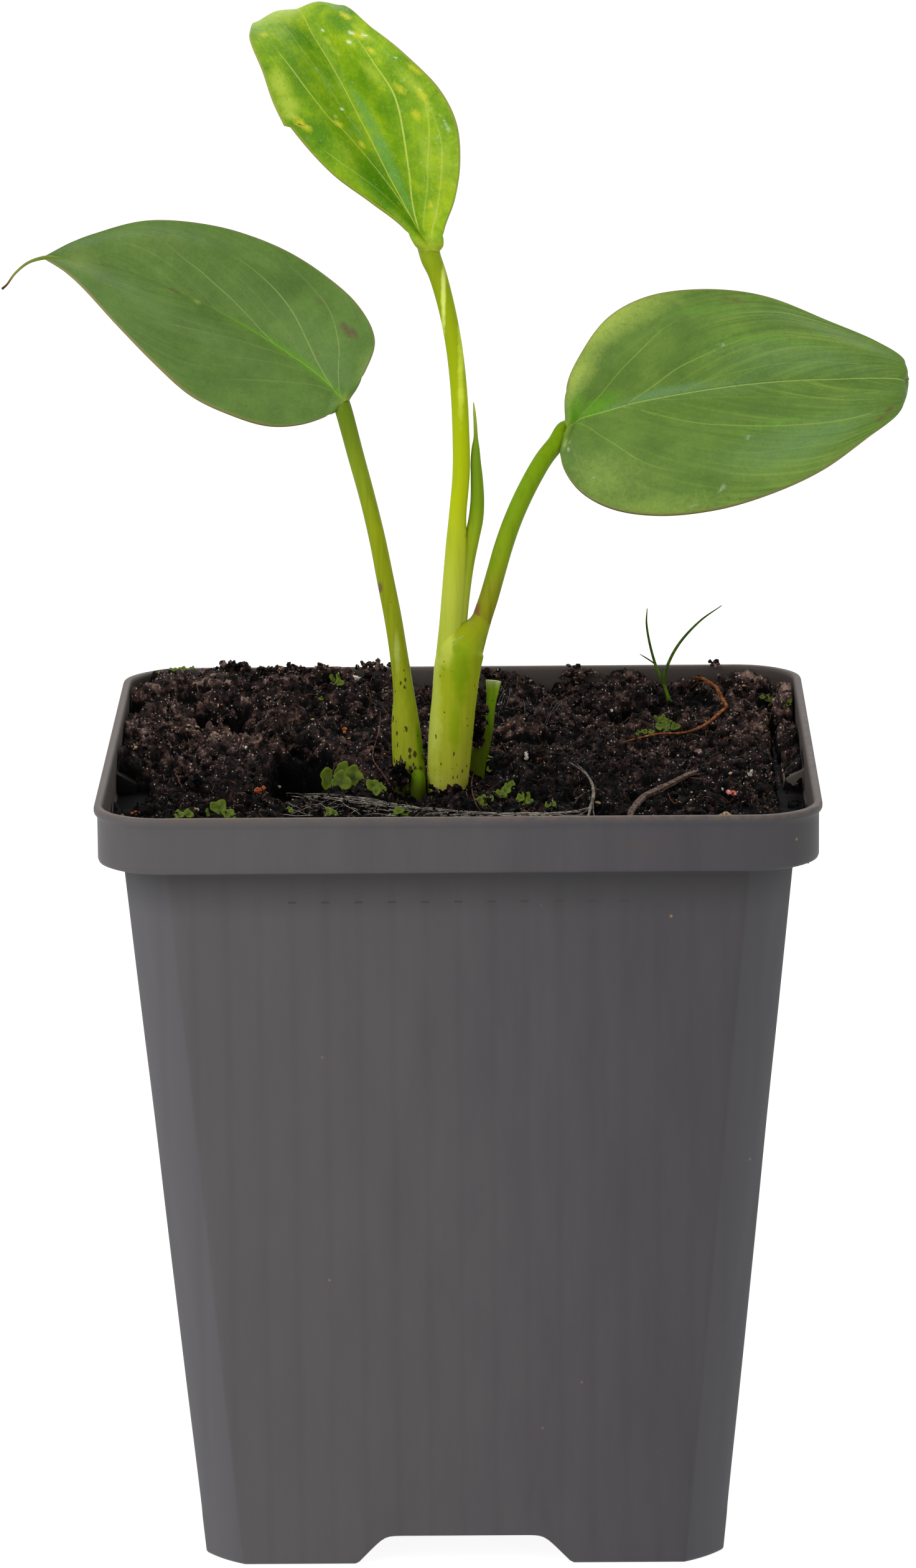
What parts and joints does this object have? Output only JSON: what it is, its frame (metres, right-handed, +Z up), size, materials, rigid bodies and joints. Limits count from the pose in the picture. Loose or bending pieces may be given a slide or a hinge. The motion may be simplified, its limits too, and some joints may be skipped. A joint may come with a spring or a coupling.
{
  "type": "potted calla lily",
  "caption": "Young calla lily with broad pointed leaves on green stalks, growing from dark peat soil in a square grey plastic nursery pot with a rim band, feet and a notched base.",
  "frame": {"origin": "on the ground under the middle of the pot", "axes": "+Z up; the plant is seen from -Y, with +X to the right"},
  "size_m": [0.1152, 0.09, 0.1935],
  "materials": {
    "pot_plastic": "moulded grey polypropylene, satin, faint flow lines",
    "peat": "moist dark peat, crumbly",
    "stem_green": "fleshy petiole, satin, fine ribs",
    "sheath_green": "fresh sheath, satin",
    "leaf_green": "matte leaf with sunken veins",
    "young_leaf_green": "glossy young leaf, mottled",
    "fibre_grey": "frayed plug sleeve fibres",
    "grass_green": "thin grass blade",
    "root_brown": "dry orange-brown root",
    "husk_brown": "dry fibrous husk"
  },
  "bodies": {
    "root": {"pot": "pot_plastic", "soil": "peat", "stem_left": "stem_green", "stem_centre": "stem_green", "stem_right": "stem_green", "rolled_leaf": "sheath_green", "cut_sheath": "sheath_green", "leaf_left": "leaf_green", "leaf_right": "leaf_green", "leaf_centre": "young_leaf_green", "fibre_net": "fibre_grey", "grass_seedling": "grass_green", "loose_root": "root_brown", "dry_husk": "husk_brown"}
  },
  "joints": []
}
